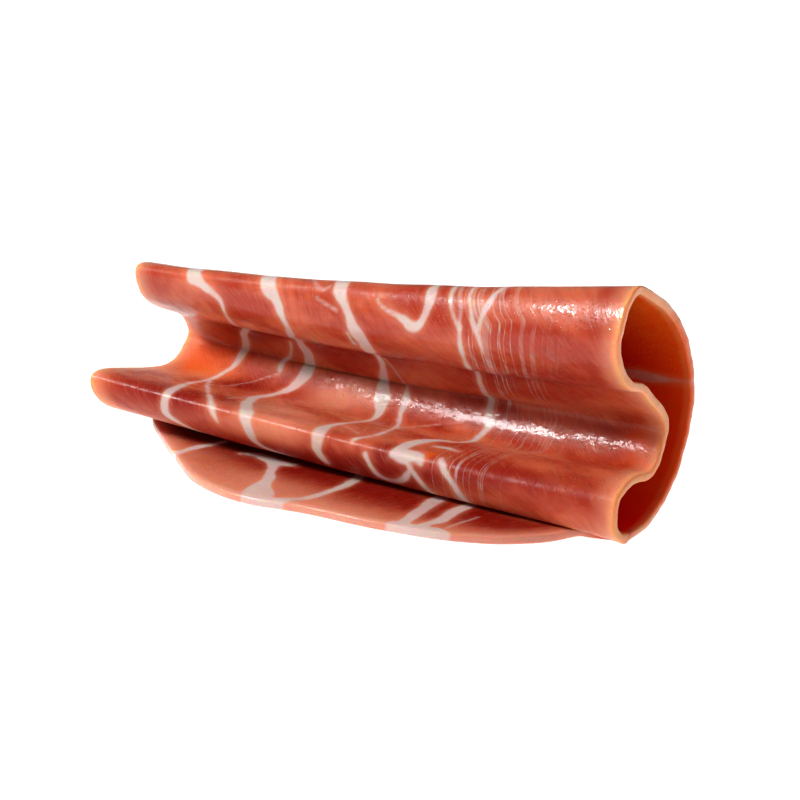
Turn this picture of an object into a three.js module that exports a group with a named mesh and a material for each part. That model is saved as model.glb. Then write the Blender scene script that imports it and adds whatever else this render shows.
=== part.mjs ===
// A slice of dry-cured ham, folded lengthwise and standing on a table.
// Millimetres. x runs along the folds, y to the back and z up.
// The free flap lies in front. From there the sheet runs back along the table, climbs behind,
// rolls over the top, dips into a valley, rolls over again and tucks its end under, on itself.

import * as THREE from "three";

// The slice
const LENGTH = 117.6; // along the folds
const SHEET = 1.7; // thickness
const FLAT = SHEET / 2; // height of the middle of the sheet where it lies on the table

// Points that the middle of the sheet passes through, as [y, z] at the left end and the right end.
// sag lowers a point half-way between the ends, where the long folds droop.
const FOLDS = [
  { place: "base, front", left: [5, FLAT], right: [0.6, FLAT], sag: 0 },
  { place: "base, back", left: [12.6, 0.9], right: [7.2, 0.9], sag: 0 },
  { place: "back, foot", left: [18.6, 3.4], right: [15.5, 4.8], sag: 0 },
  { place: "back, low", left: [21.6, 9.5], right: [22, 12.6], sag: 0 },
  { place: "back, bulge", left: [21.6, 17], right: [24.8, 22.5], sag: 0 },
  { place: "back, shoulder", left: [18, 24.3], right: [21.6, 32.3], sag: 1 },
  { place: "back, top", left: [11, 29.9], right: [14.4, 40.7], sag: 1.8 },
  { place: "crest, back", left: [5, 32.7], right: [6.6, 46.2], sag: 2 },
  { place: "crest", left: [0.4, 33], right: [0.6, 48.4], sag: 2 },
  { place: "upper roll, front", left: [-1.7, 30.2], right: [-4.6, 44.4], sag: 2 },
  { place: "upper roll, low", left: [0.8, 26.8], right: [-4.6, 37.4], sag: 1.9 },
  { place: "upper roll, under", left: [6, 23.7], right: [-0.6, 31.2], sag: 1.7 },
  { place: "lip", left: [11.5, 21], right: [4.2, 29.2], sag: 1.7 },
  { place: "valley, top", left: [13.9, 16.8], right: [10.2, 26.7], sag: 1.4 },
  { place: "valley, wall", left: [12.6, 12], right: [13.8, 20], sag: 1 },
  { place: "valley, floor back", left: [7, 9.4], right: [11.7, 12.2], sag: 0.2 },
  { place: "valley, floor front", left: [-2.6, 11.9], right: [4.4, 10.9], sag: 0 },
  { place: "lower roll, crest", left: [-12, 14.3], right: [-1.4, 10.4], sag: 0.2 },
  { place: "lower roll, front", left: [-17, 12.2], right: [-4.1, 6.4], sag: 0.6 },
  { place: "lower roll, under", left: [-11.6, 6.6], right: [-3.7, 3.8], sag: 0.8 },
  { place: "tucked end", left: [3, 2.5], right: [-2.3, 2.3], sag: 0 },
];

// The flap's free edge, as [x, y] from the left end to the right end, where it vanishes under the roll.
const FLAP_EDGE = [
  [-LENGTH, 2],
  [-113.8, -3],
  [-107, -8.6],
  [-94, -17.6],
  [-86, -22.8],
  [-78, -25.5],
  [-70, -26.2],
  [-57.7, -23.4],
  [-40.5, -21.2],
  [-25.3, -17.2],
  [-17, -12.6],
  [-11.5, -7.2],
  [-9, -3.2],
  [0, -2],
];
const FLAP_FADE = 9; // the flap shrinks to nothing over this length at the right end
// The rounded fold that is left of it at the very end: the heights of its corners, and its width.
const CLOSED_EDGE_TOP = 1.1;
const CLOSED_EDGE_BOTTOM = 0.35;
const CLOSED_EDGE_WIDTH = 1.4;
const LEAST_FLAP = 0.3;

// Facets
const STATIONS = 20; // steps along the folds
const END_CROWDING = 0.6; // 0 spaces the stations evenly, 1 crowds them fully at the ends
const LOOP_STEPS = 78; // steps round the folded sheet
const FLAP_STEPS = 7; // steps across the flap

// Share of the length at a station: 0 at the left end, 1 at the right end.
function shareAt(station) {
  const even = station / STATIONS;
  const crowded = (1 - Math.cos(Math.PI * even)) / 2;
  return END_CROWDING * crowded + (1 - END_CROWDING) * even;
}

// The middle line of the sheet at one station, without the flap.
function middleLine(share) {
  const droop = 4 * share * (1 - share);
  const points = FOLDS.map(({ left, right, sag }) => {
    const y = left[0] + (right[0] - left[0]) * share;
    const z = left[1] + (right[1] - left[1]) * share - sag * droop;
    return new THREE.Vector2(y, z);
  });
  return new THREE.SplineCurve(points);
}

const flapEdge = new THREE.CubicInterpolant(
  FLAP_EDGE.map(([x]) => x),
  FLAP_EDGE.map(([, y]) => y),
  1,
);

// The two closed outlines of the cut sheet at one station: its outside with the flap, and the hollow.
function outlines(share) {
  const line = middleLine(share);
  const outside = [];
  const hollow = [];
  for (let step = 0; step <= LOOP_STEPS; step++) {
    const middle = line.getPointAt(step / LOOP_STEPS);
    const tangent = line.getTangentAt(step / LOOP_STEPS);
    const out = new THREE.Vector2(tangent.y, -tangent.x).multiplyScalar(SHEET / 2);
    outside.push(middle.clone().add(out));
    hollow.push(middle.clone().sub(out));
  }
  // The base lies flat on the table, and the tucked end closes the hollow on top of it.
  outside.forEach((point) => (point.y = Math.max(point.y, 0)));
  outside[0].y = 0;
  hollow[0].y = SHEET;
  hollow.pop();
  const crease = outside[LOOP_STEPS];
  const x = (share - 1) * LENGTH;
  const closed = THREE.MathUtils.smoothstep(x, -FLAP_FADE, 0);
  crease.y = SHEET;
  const edge = Math.min(flapEdge.evaluate(x)[0], crease.x - LEAST_FLAP);
  const top = THREE.MathUtils.lerp(edge, crease.x + CLOSED_EDGE_WIDTH / 2, closed);
  const bottom = THREE.MathUtils.lerp(edge, crease.x + CLOSED_EDGE_WIDTH, closed);
  const edgeTop = new THREE.Vector2(top, THREE.MathUtils.lerp(SHEET, CLOSED_EDGE_TOP, closed));
  const edgeBottom = new THREE.Vector2(bottom, THREE.MathUtils.lerp(0, CLOSED_EDGE_BOTTOM, closed));
  for (let step = 1; step <= FLAP_STEPS; step++)
    outside.push(crease.clone().lerp(edgeTop, step / FLAP_STEPS));
  for (let step = FLAP_STEPS; step >= 1; step--)
    outside.push(outside[0].clone().lerp(edgeBottom, step / FLAP_STEPS));
  return { x, outside, hollow };
}

function sliceGeometry() {
  const sections = Array.from({ length: STATIONS + 1 }, (_, station) => outlines(shareAt(station)));
  const { outside, hollow } = sections[0];
  const ring = outside.length + hollow.length;
  const positions = sections.flatMap(({ x, outside, hollow }) =>
    [...outside, ...hollow].flatMap((point) => [x, point.x, point.y]),
  );
  const faces = [];
  // Skin between neighbouring stations, from the ring's point number first, count points on.
  const skin = (first, count, facing) => {
    for (let station = 0; station < STATIONS; station++)
      for (let i = 0; i < count; i++) {
        const a = station * ring + first + i;
        const b = station * ring + first + ((i + 1) % count);
        const quad = [a, b, b + ring, a, b + ring, a + ring];
        faces.push(...(facing > 0 ? quad : quad.reverse()));
      }
  };
  skin(0, outside.length, 1);
  skin(outside.length, hollow.length, -1);
  // Cut faces at the two ends.
  for (const station of [0, STATIONS]) {
    const section = sections[station];
    const cut = THREE.ShapeUtils.triangulateShape(section.outside, [section.hollow]);
    for (const [a, b, c] of cut) {
      const face = [a, b, c].map((corner) => station * ring + corner);
      faces.push(...(station === 0 ? face.reverse() : face));
    }
  }
  const geometry = new THREE.BufferGeometry();
  geometry.setAttribute("position", new THREE.Float32BufferAttribute(positions, 3));
  geometry.setIndex(faces);
  geometry.computeVertexNormals();
  return geometry;
}

const meat = new THREE.MeshStandardMaterial({ color: 0xc06450, roughness: 0.35, metalness: 0 });
const slice = new THREE.Mesh(sliceGeometry(), meat);
slice.name = "prosciutto_slice";

// The origin is under the middle of the slice, on the table.
slice.geometry.computeBoundingBox();
const middle = slice.geometry.boundingBox.getCenter(new THREE.Vector3());
slice.position.set(-middle.x, -middle.y, -slice.geometry.boundingBox.min.z);

const prosciutto = new THREE.Group();
prosciutto.add(slice);

export default prosciutto;
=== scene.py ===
"""A folded slice of dry-cured ham on a white table.

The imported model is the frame: the slice is modelled again inside it, finer, and takes its place.
"""

import functools
import math

import bpy
import numpy as np
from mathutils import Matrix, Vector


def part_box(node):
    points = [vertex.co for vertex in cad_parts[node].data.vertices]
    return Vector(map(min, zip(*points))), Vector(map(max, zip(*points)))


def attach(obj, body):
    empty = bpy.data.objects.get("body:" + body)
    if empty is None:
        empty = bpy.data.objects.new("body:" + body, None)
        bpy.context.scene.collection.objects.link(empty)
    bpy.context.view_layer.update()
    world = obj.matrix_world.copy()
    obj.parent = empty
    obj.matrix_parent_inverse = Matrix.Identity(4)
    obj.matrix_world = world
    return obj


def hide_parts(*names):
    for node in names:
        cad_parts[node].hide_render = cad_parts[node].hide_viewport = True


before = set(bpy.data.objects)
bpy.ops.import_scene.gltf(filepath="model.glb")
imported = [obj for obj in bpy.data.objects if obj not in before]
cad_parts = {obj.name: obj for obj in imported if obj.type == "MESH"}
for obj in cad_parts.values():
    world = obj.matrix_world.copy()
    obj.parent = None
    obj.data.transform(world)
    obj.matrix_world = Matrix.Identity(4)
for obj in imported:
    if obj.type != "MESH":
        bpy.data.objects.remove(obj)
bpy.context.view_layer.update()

bl_info = {
    "name": "Folded Ham Slice",
    "version": (1, 0, 0),
    "blender": (4, 5, 0),
    "location": "View3D > Sidebar > Ham Slice",
    "description": "Models one folded slice of dry-cured ham and the table that it lies on",
    "category": "Add Mesh",
}

MM = 0.001
NODE = "prosciutto_slice"
LOW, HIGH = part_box(NODE)

# The folds, in mm. Each line is a place on the middle of the sheet: its y and z at the left end,
# its y and z at the right end, and how far it droops half-way between them.
FOLDS = (
    ("base, front", (5.0, 0.85), (0.6, 0.85), 0.0),
    ("base, back", (12.6, 0.9), (7.8, 0.88), 0.0),
    ("back, foot", (18.6, 3.4), (15.8, 4.5), 0.0),
    ("back, low", (21.6, 9.5), (22.5, 12.3), 0.0),
    ("back, bulge", (21.6, 17.0), (24.8, 22.5), 0.0),
    ("back, shoulder", (18.0, 24.3), (21.6, 32.3), 1.0),
    ("back, top", (10.9, 30.0), (14.5, 40.8), 1.8),
    ("crest, back", (5.1, 32.4), (6.5, 46.0), 2.0),
    ("crest", (-0.9, 33.8), (0.3, 48.4), 2.0),
    ("upper roll, front", (-1.0, 30.4), (-4.2, 44.2), 2.0),
    ("upper roll, low", (0.9, 27.1), (-5.2, 37.6), 1.9),
    ("upper roll, under", (6.0, 23.7), (-0.6, 31.2), 1.7),
    ("lip", (11.5, 21.0), (4.2, 29.2), 1.7),
    ("valley, top", (14.5, 15.9), (9.9, 24.5), 3.0),
    ("valley, wall", (11.7, 11.8), (14.7, 18.3), 0.1),
    ("valley, floor back", (6.7, 9.5), (10.4, 11.2), 1.1),
    ("valley, floor front", (-2.2, 11.0), (4.7, 11.4), 1.7),
    ("lower roll, crest", (-12.3, 13.7), (-2.0, 10.8), 1.5),
    ("lower roll, front", (-16.6, 12.9), (-4.2, 7.6), 0.3),
    ("lower roll, under", (-11.6, 6.6), (-3.7, 3.8), 0.8),
    ("tucked end", (3.0, 2.5), (-2.3, 2.3), 0.0),
)
FOLD_SHIFT = 0.204  # mm added to y, since the origin is under the middle of the part's box

# The flap's free edge in mm: distance from the left end, and y.
FLAP_EDGE = (
    (0.0, 2.0),
    (3.8, -3.0),
    (10.6, -8.6),
    (23.6, -17.6),
    (31.6, -22.8),
    (39.6, -25.4),
    (47.6, -26.0),
    (59.9, -23.4),
    (77.1, -21.2),
    (92.3, -17.2),
    (100.6, -12.6),
    (106.1, -7.2),
    (108.6, -3.2),
    (117.6, -2.0),
)
FLAP_FADE = 9.0  # the flap closes into the fold over this length at the right end
LEAST_FLAP = 0.3  # mm of flap that are left in front of its crease
# y and z of two fold places where the flap has closed, and the corner that the closed fold is drawn
# towards: how far its y is behind the crease, and its z.
CLOSED_ENDS = {"base, front": (1.2, 0.85), "tucked end": (-0.5, 1.0)}
CLOSED_KNEE = (0.9, 0.0)
CLOSED_EDGE = 9.0  # mm from a cut edge that the closed fold counts as

# Places on the unfolded sheet, in mm: along from the left end, and across, which is counted over the
# folds from the flap's crease at 0. The flap has negative values, and the tucked end has ACROSS.
ACROSS = 143.0

# Streaks of fat: along, across and width.
STREAKS = {
    "first": (
        (21.0, 3.0, 1.4),
        (16.0, 14.0, 1.8),
        (18.0, 27.0, 2.2),
        (12.0, 38.0, 1.4),
        (12.0, 50.0, 2.0),
        (15.4, 60.0, 3.0),
        (17.6, 62.5, 1.9),
        (22.4, 65.5, 1.2),
        (24.0, 68.0, 1.0),
        (23.9, 71.5, 1.0),
        (23.0, 75.5, 1.2),
        (22.6, 79.0, 1.3),
        (18.8, 83.5, 1.9),
        (17.7, 86.3, 2.1),
        (16.8, 90.5, 2.2),
        (16.6, 92.6, 1.7),
        (15.7, 94.8, 1.3),
        (14.2, 97.5, 1.2),
        (14.2, 102.3, 1.2),
        (15.0, 108.3, 1.2),
        (17.4, 115.7, 1.5),
        (19.0, 120.6, 1.9),
        (18.8, 122.4, 2.1),
        (18.5, 124.4, 2.0),
        (19.6, 126.4, 1.6),
        (24.0, 131.0, 1.0),
    ),
    "first, branch": (
        (15.1, 101.9, 0.8),
        (17.4, 106.1, 0.8),
        (24.2, 115.7, 0.8),
        (28.6, 121.4, 0.9),
        (30.7, 123.2, 1.0),
        (31.8, 125.0, 0.6),
    ),
    "second": (
        (33.0, 2.0, 1.0),
        (37.0, 14.0, 1.6),
        (33.0, 28.0, 2.2),
        (27.0, 40.0, 1.8),
        (30.0, 52.0, 2.4),
        (35.2, 63.5, 2.9),
        (38.4, 67.4, 2.1),
        (40.1, 71.7, 1.6),
        (39.9, 75.2, 1.8),
        (37.0, 81.0, 2.0),
        (35.0, 86.1, 2.1),
        (35.5, 89.2, 2.6),
        (35.0, 92.3, 2.9),
        (34.8, 95.8, 3.4),
        (34.1, 97.7, 2.9),
        (32.7, 99.9, 2.1),
        (30.9, 101.8, 1.7),
        (29.8, 105.5, 1.7),
        (30.9, 111.2, 1.9),
        (34.3, 118.2, 2.0),
        (37.6, 122.9, 2.2),
        (38.9, 125.0, 2.1),
        (39.2, 127.6, 1.8),
        (40.6, 130.6, 1.3),
        (46.0, 134.0, 0.8),
    ),
    "second, side": (
        (28.1, 95.0, 1.3),
        (27.9, 92.5, 1.6),
        (29.8, 90.5, 0.9),
        (31.3, 87.8, 0.7),
        (32.1, 85.7, 0.5),
    ),
    "third": (
        (58.0, 3.0, 1.6),
        (55.0, 14.0, 2.4),
        (57.0, 26.0, 1.6),
        (49.0, 38.0, 1.2),
        (47.0, 50.0, 2.0),
        (52.7, 64.0, 3.2),
        (54.7, 68.4, 2.0),
        (57.2, 72.0, 1.8),
        (58.4, 75.0, 2.9),
        (59.4, 79.8, 3.1),
        (56.4, 88.1, 1.6),
        (56.0, 89.3, 1.2),
        (55.8, 93.0, 1.6),
        (54.2, 97.5, 2.2),
        (54.6, 101.1, 2.8),
        (55.2, 103.4, 3.2),
        (55.6, 105.1, 2.4),
        (55.9, 107.1, 1.5),
        (55.9, 109.6, 0.9),
        (55.6, 114.9, 0.9),
        (54.6, 119.1, 1.0),
        (54.4, 123.4, 1.8),
        (55.2, 126.8, 2.8),
        (54.8, 128.8, 2.0),
        (56.0, 132.3, 1.4),
    ),
    "third, island": ((56.4, 75.6, 0.9), (56.8, 78.6, 0.7)),
    "third, right": (
        (60.0, 100.8, 0.7),
        (60.6, 104.4, 1.7),
        (60.6, 106.6, 0.9),
        (61.6, 109.8, 0.7),
        (63.6, 116.0, 0.7),
        (64.5, 123.7, 0.7),
        (62.6, 127.3, 0.6),
    ),
    "hook": (
        (75.0, 44.0, 1.0),
        (76.0, 55.0, 1.4),
        (75.8, 64.0, 1.6),
        (75.2, 68.6, 1.9),
        (75.7, 70.8, 2.4),
        (75.4, 72.9, 1.7),
        (74.8, 74.5, 1.7),
        (73.5, 75.5, 2.0),
        (71.9, 75.2, 2.0),
        (70.6, 74.2, 1.6),
        (67.5, 72.6, 1.1),
        (65.2, 71.4, 0.8),
        (63.5, 69.8, 0.5),
    ),
    "fourth": (
        (81.0, 3.0, 1.6),
        (83.0, 16.0, 1.2),
        (80.0, 28.0, 2.0),
        (84.0, 42.0, 1.2),
        (80.0, 55.0, 0.8),
        (79.2, 66.0, 0.7),
        (80.3, 71.7, 0.7),
        (82.3, 75.3, 0.7),
        (83.5, 76.6, 1.0),
        (83.6, 79.0, 0.9),
        (83.3, 83.7, 1.0),
        (82.2, 88.0, 1.1),
        (80.2, 95.3, 1.2),
        (79.6, 100.3, 1.4),
        (80.0, 107.4, 1.5),
        (80.7, 109.7, 1.9),
        (80.5, 111.4, 1.7),
        (79.8, 113.4, 1.2),
        (79.8, 115.9, 1.1),
        (79.2, 119.5, 0.9),
        (76.9, 120.3, 1.1),
        (74.5, 121.1, 1.9),
        (73.0, 124.0, 2.8),
        (72.6, 128.2, 2.3),
        (71.4, 129.2, 0.9),
    ),
    "fourth, low": ((72.3, 128.9, 1.6), (74.3, 129.6, 2.3), (76.3, 129.6, 1.8), (78.1, 130.5, 0.9)),
    "fourth, tail": ((77.1, 124.8, 0.6), (79.6, 125.0, 1.1), (82.3, 125.9, 0.7)),
    "fork": (
        (88.0, 14.0, 1.0),
        (92.0, 28.0, 1.6),
        (95.0, 44.0, 1.0),
        (88.0, 58.0, 0.8),
        (83.8, 68.0, 0.7),
        (84.8, 72.6, 0.7),
        (86.3, 76.0, 0.8),
        (87.9, 78.9, 1.0),
        (88.4, 81.8, 0.7),
    ),
    "fork, arm": (
        (91.6, 66.0, 0.7),
        (89.6, 70.7, 1.1),
        (88.9, 72.6, 1.5),
        (88.0, 75.2, 0.8),
        (87.7, 77.4, 0.7),
    ),
    "loop": (
        (66.0, 129.4, 1.0),
        (66.8, 131.5, 1.1),
        (68.1, 134.1, 1.2),
        (71.0, 135.0, 1.3),
        (73.8, 134.0, 1.4),
        (75.9, 131.3, 1.2),
    ),
    "under roll, left": ((74.7, 130.1, 0.9), (76.8, 132.7, 1.1), (78.9, 137.1, 1.4)),
    "under roll, right": ((81.5, 130.1, 0.8), (84.4, 133.2, 1.2), (86.5, 137.7, 1.6)),
    "inner": (
        (117.6, 37.0, 0.5),
        (113.5, 37.2, 0.8),
        (110.0, 37.6, 1.8),
        (105.5, 37.9, 2.2),
        (101.0, 37.6, 1.2),
        (97.0, 37.2, 0.5),
    ),
    "flap, left": (
        (20.6, -20.0, 4.6),
        (22.8, -17.0, 1.7),
        (23.3, -14.4, 1.8),
        (24.6, -11.5, 1.7),
        (26.4, -7.6, 1.1),
    ),
    "flap, arm": (
        (33.4, -10.4, 1.0),
        (36.6, -9.0, 2.0),
        (39.8, -9.2, 2.8),
        (43.0, -9.4, 2.5),
        (46.4, -8.4, 1.1),
    ),
    "flap, stem": (
        (41.6, -10.0, 2.8),
        (43.6, -12.4, 2.1),
        (44.8, -14.6, 2.0),
        (46.6, -17.2, 2.5),
        (47.4, -20.0, 3.2),
        (48.6, -22.6, 5.4),
        (50.4, -25.4, 6.6),
    ),
    "flap, middle": (
        (54.0, -25.6, 4.4),
        (56.2, -22.6, 1.7),
        (58.6, -20.0, 1.5),
        (60.0, -15.6, 1.7),
        (61.0, -10.5, 1.8),
        (60.8, -6.3, 2.0),
        (60.0, -2.0, 2.0),
    ),
    "flap, right": (
        (81.2, -20.0, 4.3),
        (80.5, -17.4, 2.5),
        (80.3, -13.5, 2.5),
        (80.0, -9.6, 2.6),
        (79.7, -6.9, 3.0),
        (80.0, -2.0, 2.6),
    ),
    "flap, edge": ((80.2, -19.8, 4.3), (83.4, -19.4, 4.4), (86.6, -18.4, 4.4), (89.6, -17.4, 2.4)),
    "flap, far right": (
        (85.0, -19.0, 4.3),
        (84.6, -15.7, 1.8),
        (85.7, -12.8, 2.4),
        (85.6, -9.0, 2.5),
        (85.9, -5.3, 2.2),
        (86.6, -2.0, 1.7),
    ),
}

# Hair-thin lines of connective tissue: along, across and width.
THREADS = {
    "left, fan": (
        (16.9, 105.5, 0.5),
        (19.7, 104.0, 0.5),
        (20.6, 100.8, 0.5),
        (22.5, 98.9, 0.5),
        (24.7, 97.3, 0.5),
        (28.1, 95.9, 0.6),
    ),
    "left, low": ((28.9, 116.8, 0.5), (29.2, 112.6, 0.5), (29.1, 106.2, 0.5)),
    "third, thread": (
        (57.5, 89.8, 0.5),
        (58.7, 93.7, 0.5),
        (59.2, 96.2, 0.5),
        (60.0, 100.8, 0.5),
    ),
    "third, fork": ((54.7, 119.0, 0.6), (58.3, 121.5, 0.5), (61.4, 124.1, 0.5)),
    "third, low": (
        (63.2, 125.6, 0.5),
        (64.3, 119.4, 0.5),
        (64.3, 112.4, 0.5),
        (70.4, 109.6, 0.5),
    ),
    "upper wisp": ((45.8, 64.2, 0.5), (49.2, 66.7, 0.5), (51.3, 66.4, 0.5)),
    "upper wisp, low": ((48.8, 68.2, 0.6), (54.3, 71.1, 0.6)),
    "fourth, twin": ((80.8, 66.0, 0.6), (81.4, 69.8, 0.7), (83.0, 73.2, 0.7), (83.3, 75.9, 0.7)),
    "flap, thread": ((88.6, -15.2, 0.5), (89.1, -12.6, 0.7), (90.8, -7.3, 0.6)),
}

# Patches on the meat: along, across, half length and half height. Pale ones are paler meat, and in the
# valley and on the lower roll partly a painted sheen. Deep ones are deeper red meat, and at the lip and
# under the lower roll painted shade. Glow ones are a painted orange glow where the meat is so thin
# against the light that it glows.
PALE_AND_SHEEN_PATCHES = {
    "lower roll, left slope": (3.5, 101.0, 9.0, 3.5),
    "valley, left": (12.1, 98.3, 8.0, 4.0),
    # Partly a painted highlight: the glare along the valley.
    "valley, middle": (45.5, 102.4, 9.0, 5.0),
    # The two lower roll patches are partly a painted sheen round its highlight.
    "lower roll, middle": (38.0, 118.0, 9.0, 6.0),
    "lower roll, crest": (44.0, 125.0, 12.0, 4.5),
    "flap, left": (18.0, -12.0, 20.0, 10.0),
    "flap, middle": (50.0, -21.0, 30.0, 7.0),
}
DEEP_AND_SHADE_PATCHES = {
    # Painted shade: the three lip patches darken the crease under the lip.
    "lip, left": (20.0, 82.5, 16.0, 5.0),
    "lip, middle": (58.0, 86.0, 26.0, 6.0),
    "lip, right": (94.0, 91.5, 24.0, 6.5),
    "lower roll, left": (22.0, 118.5, 15.0, 5.5),
    "valley floor, left": (20.5, 101.0, 8.0, 4.0),
    "loop": (71.1, 129.9, 5.0, 3.6),
    # Painted shade: the crease under the lower roll, its underside, and its shadow on the flap's right.
    "flap, crease": (46.0, -8.5, 62.0, 7.5),
    "lower roll, underside": (52.0, 132.5, 60.0, 4.0),
    "flap, right": (93.0, -7.0, 14.0, 6.0),
}
GLOW_PATCHES = {
    # Painted glow: orange where light shines through thin meat at the ends and at the island.
    "valley, left end": (6.5, 92.8, 13.0, 9.0),
    "upper roll, left end": (1.0, 74.0, 5.0, 8.0),
    "lower roll, left end": (0.0, 124.0, 4.0, 9.0),
    "lower roll, right end": (114.3, 115.2, 6.0, 5.0),
    "island": (78.6, 129.1, 1.6, 1.2),
}

# The mesh
FINE_STEPS = 1600  # steps in which a fold's curve is measured
LOOP_ROWS = 190  # rows of faces round the folds
FLAP_ROWS = 29  # rows of faces across the flap
SKIN_STEP = 0.42  # mm between the stations of the outside
HOLLOW_STEP = 1.1  # mm between the stations of the hollow, which is seen only at its ends
BEND_CROWDING = 2.5  # mm that a radian of bend counts as when the rows are spread
RIM_STEPS = (0.0, 0.01, 0.04, 0.1, 0.2, 0.35, 0.6, 1.0)  # mm from a cut edge
RIM_SQUARENESS = 3.0  # 2 would round a cut edge to a circle, and more leaves it squarer
RING_STRETCH = 36.0  # the pale layers run this many times as far across as they are apart
REACH = 4.0  # mm round a streak in which its depth is known
PATH_STEP = 0.4  # mm between the places that a streak's path is drawn through
WELD = 1e-6  # metres between points that become one
JUST_UNDER = 1e-9  # keeps the end of a curve in its last span

# Slow waves of the sheet: along and across in mm for one wave, and where it starts.
WAVES = ((41.0, 95.0, 0.4), (-23.0, 57.0, 2.1), (17.0, -38.0, 4.0))
# Small waves of the cut at each end: radians for each mm across, where it starts, and its share.
CUT_WAVES = ((0.43, 0.0, 1.0), (0.97, 1.0, 1.0), (2.3, 2.0, 0.6))
CUT_STRAY = 0.06  # mm that a share of 1 moves the cut
CUT_FADE = 6.0  # mm from the cut in which its waves die out
# mm from the crease, and from the tucked end, over which the sheet becomes free of its base.
CREASE_FADE = (4.0, 16.0)
TUCK_FADE = (2.0, 12.0)

SALT_HEIGHT = 0.03  # mm that a grain of salt stands out of the wet film

# The camera and the softbox, in metres and degrees. The highlights on the rolls put the softbox at the
# front left, 44 degrees up.
CAMERA_PLACE = (0.207, -0.284, 0.1439)
CAMERA_TILT = 70.0
CAMERA_TURN = 35.0
SENSOR_WIDTH = 36.0  # mm
KEY_DIRECTION = (-0.454, -0.562, 0.699)
KEY_DISTANCE = 0.7


def linear(code):
    """The linear colour of an sRGB hex value."""
    shares = [int(code[i : i + 2], 16) / 255 for i in (1, 3, 5)]
    return tuple(s / 12.92 if s <= 0.04045 else ((s + 0.055) / 1.055) ** 2.4 for s in shares)


def smooth(value, low, high):
    """0 below low, 1 above high, and a smooth climb between."""
    share = np.clip((value - low) / (high - low), 0, 1)
    return share * share * (3 - 2 * share)


def curve_controls(points):
    """The control points of the smooth curve through points.

    The last two axes of points are the point and its coordinate.
    """
    count = points.shape[-2]
    rule = np.zeros((count + 2, count + 2))
    for row in range(count):
        rule[row + 1, row : row + 3] = (1 / 6, 4 / 6, 1 / 6)
    rule[0, :3] = rule[-1, -3:] = (1, -2, 1)
    known = np.zeros((*points.shape[:-2], count + 2, points.shape[-1]))
    known[..., 1:-1, :] = points
    return np.linalg.solve(rule, known)


def curve_at(controls, share):
    """Points and directions of a curve, at shares from 0 to 1 of its spans."""
    spans = controls.shape[-2] - 3
    place = np.clip(share * spans, 0, spans - JUST_UNDER)
    span = place.astype(int)
    f = place - span
    weights = (
        (1 - f) ** 3 / 6,
        (3 * f**3 - 6 * f**2 + 4) / 6,
        (-3 * f**3 + 3 * f**2 + 3 * f + 1) / 6,
        f**3 / 6,
    )
    slopes = (
        -((1 - f) ** 2) / 2,
        (3 * f**2 - 4 * f) / 2,
        (-3 * f**2 + 2 * f + 1) / 2,
        f**2 / 2,
    )
    point = sum(w[:, None] * controls[..., span + k, :] for k, w in enumerate(weights))
    slope = sum(w[:, None] * controls[..., span + k, :] for k, w in enumerate(slopes))
    return point, slope


def stations(length, step):
    """Distances from the left end at which the folds are drawn, close together at the two rims."""
    rim = np.array(RIM_STEPS)
    count = round((length - 2 * rim[-1]) / step)
    middle = np.linspace(rim[-1], length - rim[-1], count + 1)
    return np.concatenate([rim[:-1], middle, length - rim[-2::-1]])


def rim_share(distance, radius):
    """Share of the sheet's thickness that is left at a distance from its cut edge."""
    inset = 1 - np.clip(distance / radius, 0, 1)
    return (1 - inset**RIM_SQUARENESS) ** (1 / RIM_SQUARENESS)


def freedom(across):
    """0 where the sheet is joined to its own base, and 1 away from there."""
    return smooth(across, *CREASE_FADE) * smooth(ACROSS - across, *TUCK_FADE)


def wave_height(along, across):
    """Height of the slow waves in the sheet, as a share of the tallest."""
    height = sum(np.sin(2 * math.pi * (along / a + across / b) + start) for a, b, start in WAVES)
    return height / len(WAVES) * freedom(across)


def closing(along, length):
    """How far the flap has closed into the fold: 0 along most of the slice, and 1 at its right end."""
    return smooth(along, length - FLAP_FADE, length)


def cut_wobble(along, length, across):
    """How far the cut at each end strays from a straight line, which fades over the next millimetres."""
    stray = sum(share * np.sin(across * rate + start) for rate, start, share in CUT_WAVES)
    near = smooth(along, length - CUT_FADE, length) + smooth(along, CUT_FADE, 0)
    return CUT_STRAY * stray * near * freedom(across)


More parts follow.
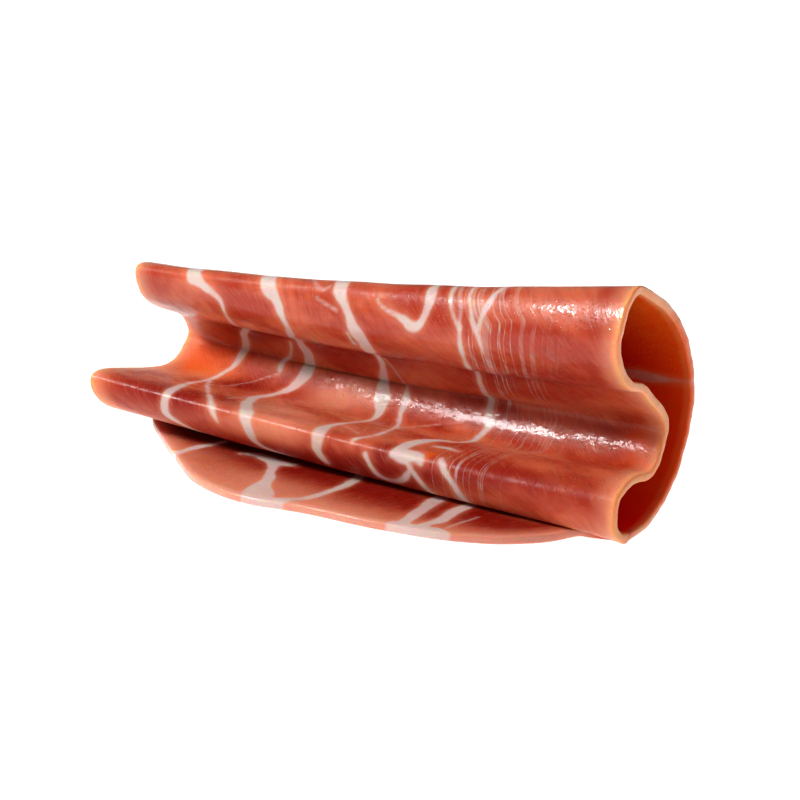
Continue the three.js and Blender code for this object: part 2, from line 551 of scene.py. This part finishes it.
def fold_lines(along, length, wave):
    """The middle of the sheet, its outward direction and its across value, for each station and row."""
    share = (along / length)[:, None, None]
    left = np.array([fold[1] for fold in FOLDS])
    right = np.array([fold[2] for fold in FOLDS])
    droop = np.array([(0, fold[3]) for fold in FOLDS])
    points = left + (right - left) * share - droop * 4 * share * (1 - share)
    closed = closing(along, length)[:, None]
    for row, (name, *_) in enumerate(FOLDS):
        if name in CLOSED_ENDS:
            points[:, row] += closed * (np.array(CLOSED_ENDS[name]) - points[:, row])

    # The rows are closer together where the sheet bends more.
    controls = curve_controls(points)
    fine = np.linspace(0, 1, FINE_STEPS)
    line, slope = curve_at(controls, fine)
    step = np.linalg.norm(np.diff(line, axis=1), axis=2)
    bend = np.abs(np.diff(np.unwrap(np.arctan2(slope[..., 1], slope[..., 0]), axis=1), axis=1))
    start = np.zeros((len(along), 1))
    crowd = np.concatenate([start, np.cumsum(step + BEND_CROWDING * bend, 1)], 1)
    travel = np.concatenate([start, np.cumsum(step, 1)], 1)
    middle = np.empty((len(along), LOOP_ROWS + 1, 2))
    outward = np.empty_like(middle)
    across = np.empty((len(along), LOOP_ROWS + 1))
    even = np.linspace(0, 1, LOOP_ROWS + 1)
    for i in range(len(along)):
        place = np.interp(even, crowd[i] / crowd[i, -1], fine)
        point, direction = curve_at(controls[i], place)
        direction /= np.linalg.norm(direction, axis=-1, keepdims=True)
        middle[i] = point
        outward[i] = np.stack([direction[:, 1], -direction[:, 0]], -1)
        across[i] = np.interp(place, fine, travel[i] / travel[i, -1]) * ACROSS
    middle += outward * (wave * wave_height(along[:, None], across))[..., None]
    return middle, outward, across


def flap_edge(along):
    """y of the flap's free edge, on a smooth curve through its points."""
    x, y = np.array(FLAP_EDGE).T
    slope = np.gradient(y, x)
    k = np.clip(np.searchsorted(x, along) - 1, 0, len(x) - 2)
    span = x[k + 1] - x[k]
    t = (along - x[k]) / span
    start = (1 + 2 * t) * (1 - t) ** 2 * y[k] + t * (1 - t) ** 2 * span * slope[k]
    finish = (3 - 2 * t) * t**2 * y[k + 1] + (t - 1) * t**2 * span * slope[k + 1]
    return start + finish


class Skins:
    """The three skins of the slice in mm: outside of the folds, flap (top, then underside) and hollow.

    Each is a dict of arrays with one value for each station and row: its place, along and across on
    the sheet, and edge, which is how far it is from the nearest cut edge.
    """

    def __init__(self, length, sheet, rim, wave):
        self.length, self.sheet, self.rim = length, sheet, rim
        along = stations(length, SKIN_STEP)
        outer, middle, junction, across = self.loop(along, wave, 1)
        self.outside = self.skin(along, outer, middle, across, self.end_edge(along, across))
        self.flap = self.flap_skin(along, outer, junction)
        along = stations(length, HOLLOW_STEP)
        hollow, middle, junction, across = self.loop(along, wave, -1)
        hollow[:, -1] = hollow[:, 0]
        self.hollow = self.skin(along, hollow, middle, across, self.end_edge(along, across))

    def loop(self, along, wave, side):
        """One side of the folded sheet, its middle, the junction at its crease, and its across values."""
        half = self.sheet / 2
        middle, outward, across = fold_lines(along, self.length, wave)
        outer = middle + outward * half
        outer[..., 1] = np.maximum(outer[..., 1], 0)
        outer[:, 0, 1] = 0
        outer[:, -1, 1] += (self.sheet - outer[:, -1, 1]) * (1 - closing(along, self.length))
        hollow = middle - outward * half
        hollow[:, 0, 1] = self.sheet
        junction = (outer[:, 0] + outer[:, -1] + hollow[:, 0]) / 3
        middle[:, 0] = middle[:, -1] = junction
        return (outer if side > 0 else hollow), middle, junction, across

    def end_edge(self, along, across):
        """Distance to the nearer cut end."""
        return np.broadcast_to(np.minimum(along, self.length - along)[:, None], across.shape)

    def skin(self, along, surface, middle, across, edge):
        """Rounds a surface into the rims at the two ends, and moves it to the part's own place."""
        end = rim_share(np.minimum(along, self.length - along), self.rim)[:, None, None]
        yz = middle + (surface - middle) * end
        x = np.broadcast_to(along[:, None], across.shape)
        cut = x + cut_wobble(x, self.length, across)
        place = np.stack([cut - self.length / 2, yz[..., 0] + FOLD_SHIFT, yz[..., 1]], -1)
        return {"place": place, "along": x, "across": across, "edge": edge}

    def flap_skin(self, along, outer, junction):
        """The flap from its crease out to its rounded free edge and back underneath to the base."""
        half = self.sheet / 2
        crease, base = outer[:, -1], outer[:, 0]
        closed = closing(along, self.length)[:, None]
        edge = np.minimum(flap_edge(along), crease[:, 0] - LEAST_FLAP)[:, None]
        width = crease[:, :1] - edge

        # Inset is the distance from the free edge. Its rows are crowded in the rounded rim.
        rim = np.minimum(self.rim, width / 2)
        rim_rows = np.array(RIM_STEPS[:-1]) / RIM_STEPS[-2]
        even_rows = np.linspace(1, 0, FLAP_ROWS - len(rim_rows) + 2)[:-1]
        inset = np.concatenate([rim + (width - rim) * even_rows, rim * rim_rows[::-1][1:]], 1)
        thick = rim_share(inset, rim)
        share = 1 - inset / width
        top = np.stack([crease[:, :1] - width * share, half + (crease[:, 1:] - half) * thick], -1)
        low_y = base[:, :1] + (edge - base[:, :1]) * share
        low = np.stack([low_y, half - half * thick], -1)

        # At the right end the flap becomes a rounded fold between the crease and the base.
        knee = np.stack([crease[:, 0] + CLOSED_KNEE[0], np.full(len(along), CLOSED_KNEE[1])], -1)

        def closed_fold(t):
            """Places on the closed fold: 0 is its crease and 1 the base."""
            t = t[..., None]
            return (1 - t) ** 2 * crease[:, None] + 2 * t * (1 - t) * knee[:, None] + t**2 * base[:, None]

        top += (closed_fold(share / 2) - top) * closed[..., None]
        low += (closed_fold(1 - share / 2) - low) * closed[..., None]
        middle = (top + low) / 2
        middle[:, 0] = junction
        surface = np.concatenate([top, low[:, -2::-1]], 1)
        middle = np.concatenate([middle, middle[:, -2::-1]], 1)
        across = -width * share
        across = np.concatenate([across, across[:, -2::-1]], 1)
        inset = np.concatenate([inset, inset[:, -2::-1]], 1) + CLOSED_EDGE * closed
        edge = np.minimum(inset, self.end_edge(along, across))
        return self.skin(along, surface, middle, across, edge)


def streak_path(points):
    """A smooth path through a streak's points, as along, across and width."""
    points = np.array(points)
    travel = np.linalg.norm(np.diff(points[:, :2], axis=0), axis=1).sum()
    path, _ = curve_at(curve_controls(points), np.linspace(0, 1, max(4, int(travel / PATH_STEP))))
    return path


def depth_in(streaks, along, across):
    """How deep a place lies inside the nearest streak in mm: below 0 it is outside all of them."""
    depth = np.full(along.shape, -REACH)
    for points in streaks.values():
        path = streak_path(points)
        low, high = path.min(0) - REACH, path.max(0) + REACH
        near = (along > low[0]) & (along < high[0]) & (across > low[1]) & (across < high[1])
        x, y, best = along[near], across[near], depth[near]
        for px, py, width in path:
            best = np.maximum(best, width / 2 - np.hypot(x - px, y - py))
        depth[near] = best
    return depth


def patch_share(patches, along, across):
    """1 in the middle of a patch and 0 outside all of them."""
    share = np.zeros(along.shape)
    for x, y, half_length, half_height in patches.values():
        off = ((along - x) / half_length) ** 2 + ((across - y) / half_height) ** 2
        share = np.maximum(share, np.exp(-off))
    return share


def ring_distance(along, across):
    """Distance to the right of the fourth streak, which the fine rings beside it follow.

    The streak's last four points turn off to the left, and the rings don't follow them.
    """
    path = streak_path(STREAKS["fourth"][:-4])
    return along - np.interp(across, path[:, 1], path[:, 0])


def add_node(tree, kind, inputs=None, output=0, **settings):
    """Adds a node with its settings, gives its inputs values or links, and returns one of its outputs."""
    node = tree.nodes.new(kind)
    for name, value in settings.items():
        setattr(node, name, value)
    for key, value in (inputs or {}).items():
        if isinstance(value, bpy.types.NodeSocket):
            tree.links.new(value, node.inputs[key])
        else:
            node.inputs[key].default_value = value
    return node.outputs[output] if node.outputs else None


def new_material(name):
    """An empty node material and its tree."""
    material = bpy.data.materials.new(name)
    material.use_nodes = True
    material.node_tree.nodes.clear()
    return material, material.node_tree


def cured_ham(look):
    """Dry-cured ham, cut by hand and moist with its own fat.

    The muscle is translucent: red light travels furthest in it, so shadows and thin places are warm.
    The streaks of fat are whiter, with a soft outline. Bundles of fibres give the muscle its slanted
    grain. The wet film is glossy, and the small dents in it tear each highlight apart.
    """
    material, tree = new_material("dry_cured_ham_cut_moist")
    add = functools.partial(add_node, tree)

    # What add_skin keeps at the faces' corners.
    sheet = add("ShaderNodeAttribute", {}, 1, attribute_name="sheet")
    along, across, hollow = add("ShaderNodeSeparateXYZ", {0: sheet}).node.outputs
    marks = add("ShaderNodeAttribute", {}, 1, attribute_name="marks")
    streak, thread, edge = add("ShaderNodeSeparateXYZ", {0: marks}).node.outputs
    # Pale, deep and glow shares: paler meat and a painted sheen, deeper meat and painted shade, and a
    # painted glow.
    tones_and_light = add("ShaderNodeAttribute", {}, 1, attribute_name="tones_and_light")
    pale, deep, glow = add("ShaderNodeSeparateXYZ", {0: tones_and_light}).node.outputs
    rings = add("ShaderNodeAttribute", {}, 1, attribute_name="rings")
    ring = add("ShaderNodeSeparateXYZ", {0: rings})

    # The grain turns slowly, by up to about 20 degrees over a few centimetres.
    turns = add("ShaderNodeTexNoise", {"Vector": sheet, "Scale": 0.024, "Detail": 0.0}, 1)
    turns = add("ShaderNodeVectorMath", {0: turns, 1: (16, 16, 0)}, operation="MULTIPLY")
    grain = add("ShaderNodeVectorMath", {0: sheet, 1: turns}, operation="ADD")

    # Patterns on the sheet: how wide a lump is in mm, how many times as long, how many degrees the long
    # way is turned, and how many finer layers it has. Single fibres are 0.1 mm wide. They are drawn
    # 0.3 mm wide, so that they show.
    patterns = {
        "cloud": (sheet, 9.0, 2.0, 25, 3.0),
        "bundle": (grain, 1.2, 7.0, 58, 2.0),
        "fibre": (grain, 0.3, 12.0, 58, 1.0),
        "swell": (sheet, 6.5, 1.0, 0, 0.0),
        "dent": (sheet, 1.5, 1.4, 20, 2.0),
        "grit": (sheet, 0.5, 1.0, 0, 0.0),
        "fray": (sheet, 3.0, 1.5, 58, 2.0),
        "layer": (rings, 2.3, 1.0, 0, 1.0),
    }
    pattern = {}
    for name, (where, width, length, turn, detail) in patterns.items():
        stretch = (width * length, width, 1.0)
        turned = (0, 0, math.radians(turn))
        where = add("ShaderNodeMapping", {0: where, 2: turned, 3: stretch}, vector_type="TEXTURE")
        pattern[name] = add("ShaderNodeTexNoise", {"Vector": where, "Scale": 1.0, "Detail": detail})

    # Fat with a softly uneven outline, and the fine pale layers beside the fourth streak, which show
    # where a thin line of the layer pattern crosses its middle value.
    fray = add("ShaderNodeMapRange", {0: pattern["fray"], 1: 0.25, 2: 0.75, 3: -0.25, 4: 0.25})
    fat_depth = add("ShaderNodeMath", {0: streak, 1: fray}, operation="ADD")
    line = add("ShaderNodeMath", {0: pattern["layer"], 1: 0.5}, operation="SUBTRACT")
    line = add("ShaderNodeMath", {0: line}, operation="ABSOLUTE")

    # Shares from 0 to 1: what is measured, the values where a share starts and ends, and its range.
    ramps = {
        # The muscle: lighter drifts, bundles, single fibres and the three kinds of patches.
        "light": (pattern["cloud"], 0.38, 0.62, 0.0, 1.0),
        "bundle": (pattern["bundle"], 0.42, 0.75, 0.0, 0.24),
        "fibre": (pattern["fibre"], 0.5, 0.78, 0.0, 0.28),
        "pale": (pale, 0.0, 1.0, 0.0, 0.7),
        "deep": (deep, 0.0, 1.0, 0.0, 0.95),
        "glow": (glow, 0.0, 1.0, 0.0, 0.75),
        # The hollow and the outside, the part of the folds under the crest, and how strongly the painted
        # colours of the light inside the hollow show, which is less at the left end.
        "hollow": (hollow, 0.0, 1.0, 0.0, 1.0),
        "outside": (hollow, 0.0, 1.0, 1.0, 0.0),
        "under crest": (across, 40.0, 58.0, 0.0, 0.95),
        "lit end": (along, 5.0, 40.0, 0.4, 1.0),
        # From a cut edge inwards: the mouth of the hollow, where a glow is painted, meat painted paler
        # for light through the thin edge, and the rim.
        "mouth": (edge, 0.0, 24.0, 0.95, 0.0),
        # dry paints the last millimetres before a cut edge paler: a glow of light through the thin edge.
        "dry": (edge, 0.2, 6.0, 0.75, 0.0),
        "edge": (edge, 0.1, 2.2, 0.9, 0.0),
        # Round the folds: behind the crest, above the foot of the back, and in front of the crest.
        "behind": (across, 50.0, 62.0, 0.9, 0.0),
        "foot": (across, 2.0, 18.0, 0.0, 1.0),
        "front": (across, 52.0, 62.0, 0.0, 1.0),
        # The fine pale layers: beside the fourth streak, fading to the right, stronger on bundles.
        "near": (ring, 0.6, 2.0, 0.0, 1.0),
        "far": (ring, 5.0, 26.0, 0.6, 0.0),
        "line": (line, 0.004, 0.03, 1.0, 0.0),
        "strong": (pattern["bundle"], 0.4, 0.65, 0.4, 1.0),
        # The fat: a pale fringe, the streak itself, which is fainter in the hollow, and hair-thin lines.
        "fringe": (fat_depth, -1.6, 0.1, 0.0, 0.3),
        "fat": (fat_depth, -0.4, 0.4, 0.0, 1.0),
        "clear": (hollow, 0.0, 1.0, 1.0, 0.45),
        "thread": (thread, -0.35, 0.2, 0.0, 0.45),
        "milky": (pattern["cloud"], 0.3, 0.6, 0.8, 0.97),
        # Rims on the folds, and a fainter one on the flap.
        "folds": (across, -1.0, 3.0, 0.0, 1.0),
        "flap": (across, -1.0, 3.0, 0.3, 0.0),
        # The wet film: down to the lip, and from there to the lower roll, more towards the right.
        "to lip": (across, 84.0, 90.0, 1.0, 0.0),
        "from lip": (across, 84.0, 90.0, 0.0, 0.75),
        "to roll": (across, 112.0, 119.0, 1.0, 0.0),
        "right": (along, 40.0, 105.0, 0.1, 1.0),
        # The finish: how dull the flesh is under its film, and grains of salt.
        "dull": (pattern["dent"], 0.35, 0.7, 0.4, 0.58),
        "salt": (pattern["grit"], 0.66, 0.8, 0.0, 1.0),
    }
    share = {}
    for name, (measure, start, finish, low, high) in ramps.items():
        inputs = {0: measure, 1: start, 2: finish, 3: low, 4: high}
        share[name] = add("ShaderNodeMapRange", inputs, interpolation_type="SMOOTHSTEP")
    products = {
        "layer": ("line", "near"),
        "front layer": ("layer", "front"),
        "strong layer": ("front layer", "strong"),
        "layers": ("strong layer", "far"),
        # inside, crown, inner mouth and back rim paint the red of light bounced round the hollow and the
        # orange of light through thin meat.
        "inside": ("hollow", "lit end"),
        "crown": ("under crest", "inside"),
        "end": ("dry", "outside"),
        "lit back": ("behind", "lit end"),
        "back": ("lit back", "foot"),
        "flap rim": ("edge", "flap"),
        "rim": ("edge", "folds"),
        "back rim": ("back", "rim"),
        "back mouth": ("mouth", "back"),
        "inner mouth": ("back mouth", "inside"),
        "clear fat": ("fat", "clear"),
        "white": ("clear fat", "milky"),
        "floor": ("from lip", "to roll"),
        "valley": ("floor", "right"),
    }
    for name, (one, other) in products.items():
        share[name] = add("ShaderNodeMath", {0: share[one], 1: share[other]}, operation="MULTIPLY")

    # Colours, each laid over the ones before it. The last millimetres before a cut edge are painted
    # paler, for light that shines through the thin edge, and the rim is pale orange, with a painted
    # deeper orange glow behind, where light comes through it. The deep patches paint shade in the
    # creases, the pale ones partly a sheen, and the glow, inside, crown and inner mouth layers the glow
    # and bounced red of light in thin meat and in the hollow.
    colour = (*look.meat, 1.0)
    layers = (
        ("light", look.meat_light),
        ("bundle", look.meat_deep_and_shade),
        ("pale", look.meat_pale_and_lit),
        ("deep", look.meat_deep_and_shade),
        ("glow", look.glow),
        ("fibre", look.fibre),
        ("inside", look.inside),
        ("crown", look.glow),
        ("inner mouth", look.glow),
        ("layers", look.fat),
        ("end", look.meat_pale_and_lit),
        ("flap rim", look.fat),
        ("rim", look.rim),
        ("back rim", look.glow),
        ("fringe", look.meat_pale_and_lit),
        ("thread", look.fat),
        ("white", look.fat),
    )
    for name, tint in layers:
        inputs = {0: share[name], 6: colour, 7: (*tint, 1.0)}
        colour = add("ShaderNodeMix", inputs, 2, data_type="RGBA")

    # Relief in mm. The wet film has broad swells and small dents, it shows the fibres only a little, and
    # grains of salt stand out of it. The flesh under it follows the film, and adds a fine grit and more
    # of the fibres.
    reliefs = (
        ("film", (("swell", 0.15), ("dent", 0.075), ("bundle", 0.02), ("fibre", 0.006))),
        ("flesh", (("bundle", 0.03), ("grit", 0.015), ("fibre", 0.012))),
    )
    normal = {}
    for name, heights in reliefs:
        relief = add("ShaderNodeMath", {0: share["salt"], 1: SALT_HEIGHT}, operation="MULTIPLY")
        for key, height in heights:
            inputs = {0: pattern[key], 1: height, 2: relief}
            relief = add("ShaderNodeMath", inputs, operation="MULTIPLY_ADD")
        inputs = {"Height": relief, "Strength": 1.0, "Distance": MM}
        if name == "flesh":
            inputs["Normal"] = normal["film"]
        normal[name] = add("ShaderNodeBump", inputs)

    # The film is thin on the lower roll and at the left end of the valley, with a coat weight below 0.1,
    # so highlights are dull there. Elsewhere the weight is up to 0.36 and the flesh under it smoother.
    wet = add("ShaderNodeMath", {0: share["to lip"], 1: share["valley"]}, operation="ADD")
    film = add("ShaderNodeMath", {0: wet, 1: 0.3, 2: 0.06}, operation="MULTIPLY_ADD")
    roughness = add("ShaderNodeMath", {0: wet, 1: -0.12, 2: share["dull"]}, operation="MULTIPLY_ADD")

    shader = add(
        "ShaderNodeBsdfPrincipled",
        {
            "Base Color": colour,
            "Roughness": roughness,
            "IOR": 1.44,
            "Specular IOR Level": 0.32,
            "Subsurface Weight": 1.0,
            "Subsurface Radius": (1.0, 0.28, 0.12),
            "Subsurface Scale": look.glow_depth,
            "Subsurface Anisotropy": 0.6,
            "Coat Weight": film,
            "Coat Roughness": 0.1,
            "Coat IOR": 1.5,
            "Normal": normal["flesh"],
            "Coat Normal": normal["film"],
        },
    )
    add("ShaderNodeOutputMaterial", {"Surface": shader})
    return material


def table_glow(look):
    """Opal acrylic, cast and matt, lit evenly from below: a white ground that swallows shadows."""
    material, tree = new_material("opal_acrylic_matt")
    inputs = {
        "Base Color": (*look.table, 1.0),
        "Roughness": 0.8,
        "Specular IOR Level": 0.1,
        "Emission Color": (1.0, 1.0, 1.0, 1.0),
        "Emission Strength": look.table_light,
    }
    shader = add_node(tree, "ShaderNodeBsdfPrincipled", inputs)
    add_node(tree, "ShaderNodeOutputMaterial", {"Surface": shader})
    return material


def colour_setting(name, description, code):
    """A colour that the user can change, from its sRGB hex value."""
    return bpy.props.FloatVectorProperty(
        name=name, description=description, subtype="COLOR", size=3, min=0, max=1, default=linear(code)
    )


def length_setting(name, description, default):
    """A length in metres that the user can change."""
    return bpy.props.FloatProperty(
        name=name, description=description, subtype="DISTANCE", unit="LENGTH", min=0, default=default
    )


class SliceShape(bpy.types.PropertyGroup):
    """Sizes of the slice"""

    length: length_setting("Length", "Length along the folds", HIGH.x - LOW.x)
    thickness: length_setting("Thickness", "Thickness of the sheet", 1.7 * MM)
    rim: length_setting("Rim", "How far in from a cut edge the sheet is rounded", 0.6 * MM)
    wave: length_setting("Wave", "Height of the slow waves in the sheet", 0.12 * MM)


class SliceLook(bpy.types.PropertyGroup):
    """Colours of the meat, and how far it glows"""

    meat: colour_setting("Meat", "Red of the muscle", "#AC4229")
    meat_light: colour_setting("Light Meat", "Lighter drifts in the muscle", "#CA6E50")
    # Deep Meat is also the colour of the painted shade in the creases.
    meat_deep_and_shade: colour_setting("Deep Meat", "Deeper red of dense muscle", "#8A1206")
    # Pale Meat is also the painted sheen and the glow painted near the cut edges.
    meat_pale_and_lit: colour_setting("Pale Meat", "Pale patches, and dried meat near the edges", "#DC967A")
    glow: colour_setting("Glow", "Orange of thin meat that light comes through", "#E06410")
    # Inside is painted light: the deep red of light bounced round the hollow, not the meat's own colour.
    inside: colour_setting("Inside", "Saturated red of the hollow", "#DE0C00")
    fibre: colour_setting("Fibre", "Light on single fibres", "#CC8468")
    fat: colour_setting("Fat", "Streaks of fat", "#D0C0BA")
    rim: colour_setting("Rim", "Dried cut edge", "#E8A878")
    glow_depth: length_setting("Glow Depth", "How far red light travels in the meat", 2.4 * MM)


class StageLook(bpy.types.PropertyGroup):
    """The table, the lights and the camera"""

    table: colour_setting("Table", "Colour that the panel has unlit", "#8E8D8B")
    floor_size: length_setting("Table Size", "Side of the square table", 6.0)
    key_size: length_setting("Key Size", "Width of the round softbox at the front left", 0.17)
    key_power: bpy.props.FloatProperty(
        name="Key Light", description="Power of the softbox", unit="POWER", min=0, default=4.6
    )
    table_light: bpy.props.FloatProperty(
        name="Table Light", description="Strength of the light inside the table", min=0, default=0.92
    )
    sky: bpy.props.FloatProperty(
        name="Studio Light", description="Strength of the even white light all round", min=0, default=0.2
    )
    lens: bpy.props.FloatProperty(
        name="Lens", description="Focal length of the camera", unit="CAMERA", min=1, default=85.0
    )


def add_skin(name, skin):
    """A flat grid, moved onto a skin, with the skin's marks kept at the faces' corners.

    Its points are set by the law of the folds, which gives each section of the sheet one thickness and
    each point its place on the unfolded sheet.
    """
    count, rows = skin["across"].shape
    bpy.ops.object.select_all(action="DESELECT")
    bpy.ops.mesh.primitive_grid_add(x_subdivisions=rows - 1, y_subdivisions=count - 1, size=2)
    piece = bpy.context.object
    piece.name = name
    mesh = piece.data
    mesh.vertices.foreach_set("co", (skin["place"] * MM).astype(np.float32).ravel())
    corners = np.empty(len(mesh.loops), np.int32)
    mesh.loops.foreach_get("vertex_index", corners)
    along, across, edge = (skin[key].ravel() for key in ("along", "across", "edge"))
    values = {
        "sheet": (along, across, np.full_like(along, name == "hollow")),
        "marks": (depth_in(STREAKS, along, across), depth_in(THREADS, along, across), edge),
        "tones_and_light": (
            patch_share(PALE_AND_SHEEN_PATCHES, along, across),
            patch_share(DEEP_AND_SHADE_PATCHES, along, across),
            patch_share(GLOW_PATCHES, along, across),
        ),
        "rings": (ring_distance(along, across), across / RING_STRETCH, np.zeros_like(along)),
    }
    for key, columns in values.items():
        attribute = mesh.attributes.new(key, "FLOAT_VECTOR", "CORNER")
        table = np.stack(columns, -1).astype(np.float32)
        attribute.data.foreach_set("vector", table[corners].ravel())
    return piece


class HAM_OT_add_slice(bpy.types.Operator):
    """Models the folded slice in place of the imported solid"""

    bl_idname = "ham.add_slice"
    bl_label = "Add Folded Slice"

    def execute(self, context):
        shape, look = context.scene.ham_shape, context.scene.ham_look
        skins = Skins(shape.length / MM, shape.thickness / MM, shape.rim / MM, shape.wave / MM)
        parts = [
            add_skin("cured_ham_slice", skins.outside),
            add_skin("flap", skins.flap),
            add_skin("hollow", skins.hollow),
        ]
        bpy.ops.object.select_all(action="DESELECT")
        for part in parts:
            part.select_set(True)
        piece = parts[0]
        context.view_layer.objects.active = piece
        bpy.ops.object.join()
        bpy.ops.object.mode_set(mode="EDIT")
        bpy.ops.mesh.select_all(action="SELECT")
        bpy.ops.mesh.remove_doubles(threshold=WELD)
        bpy.ops.mesh.normals_make_consistent(inside=False)
        bpy.ops.mesh.select_all(action="DESELECT")
        bpy.ops.mesh.select_non_manifold()
        bpy.ops.object.mode_set(mode="OBJECT")
        loose = sum(v.select for v in piece.data.vertices)
        if loose:
            raise RuntimeError(f"the slice isn't closed: {loose} loose points on its skins")
        bpy.ops.object.shade_smooth()
        piece.data.materials.append(cured_ham(look))
        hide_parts(NODE)
        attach(piece, "root")
        return {"FINISHED"}


class HAM_OT_add_stage(bpy.types.Operator):
    """Lays the white table, hangs the lights and sets up the camera"""

    bl_idname = "ham.add_stage"
    bl_label = "Add Table, Lights and Camera"

    def execute(self, context):
        stage = context.scene.ham_stage
        bpy.ops.object.select_all(action="DESELECT")
        bpy.ops.mesh.primitive_plane_add(size=stage.floor_size)
        table = context.object
        table.name = "table"
        table.data.materials.append(table_glow(stage))

        bpy.ops.object.light_add(type="AREA", location=np.array(KEY_DIRECTION) * KEY_DISTANCE)
        key = context.object
        key.name = "softbox"
        key.data.shape = "DISK"
        key.data.size = stage.key_size
        key.data.energy = stage.key_power
        x, y, z = KEY_DIRECTION
        key.rotation_euler = (math.acos(z), 0, math.atan2(x, -y))

        world = bpy.data.worlds.new("white_studio")
        world.use_nodes = True
        world.node_tree.nodes.clear()
        inputs = {"Color": (1.0, 1.0, 1.0, 1.0), "Strength": stage.sky}
        background = add_node(world.node_tree, "ShaderNodeBackground", inputs)
        add_node(world.node_tree, "ShaderNodeOutputWorld", {"Surface": background})
        context.scene.world = world
        # The photograph is developed with some contrast.
        context.scene.view_settings.view_transform = "Standard"
        context.scene.view_settings.look = "Medium High Contrast"

        bpy.ops.object.camera_add(
            location=CAMERA_PLACE,
            rotation=(math.radians(CAMERA_TILT), 0, math.radians(CAMERA_TURN)),
        )
        camera = context.object
        camera.name = "camera"
        camera.data.lens = stage.lens
        camera.data.sensor_width = SENSOR_WIDTH
        context.scene.camera = camera
        return {"FINISHED"}


class HAM_PT_panel(bpy.types.Panel):
    """Sizes and colours of the slice, and the steps that build it"""

    bl_idname = "HAM_PT_panel"
    bl_label = "Folded Ham Slice"
    bl_space_type = "VIEW_3D"
    bl_region_type = "UI"
    bl_category = "Ham Slice"

    def draw(self, context):
        layout = self.layout
        for group in (context.scene.ham_shape, context.scene.ham_look, context.scene.ham_stage):
            box = layout.box()
            for key in group.__annotations__:
                box.prop(group, key)
        layout.operator(HAM_OT_add_slice.bl_idname)
        layout.operator(HAM_OT_add_stage.bl_idname)


CLASSES = (SliceShape, SliceLook, StageLook, HAM_OT_add_slice, HAM_OT_add_stage, HAM_PT_panel)


def register():
    for kind in CLASSES:
        bpy.utils.register_class(kind)
    bpy.types.Scene.ham_shape = bpy.props.PointerProperty(type=SliceShape)
    bpy.types.Scene.ham_look = bpy.props.PointerProperty(type=SliceLook)
    bpy.types.Scene.ham_stage = bpy.props.PointerProperty(type=StageLook)


def unregister():
    del bpy.types.Scene.ham_stage
    del bpy.types.Scene.ham_look
    del bpy.types.Scene.ham_shape
    for kind in reversed(CLASSES):
        bpy.utils.unregister_class(kind)


def main():
    register()
    bpy.ops.ham.add_slice()
    bpy.ops.ham.add_stage()


if __name__ == "__main__":
    main()
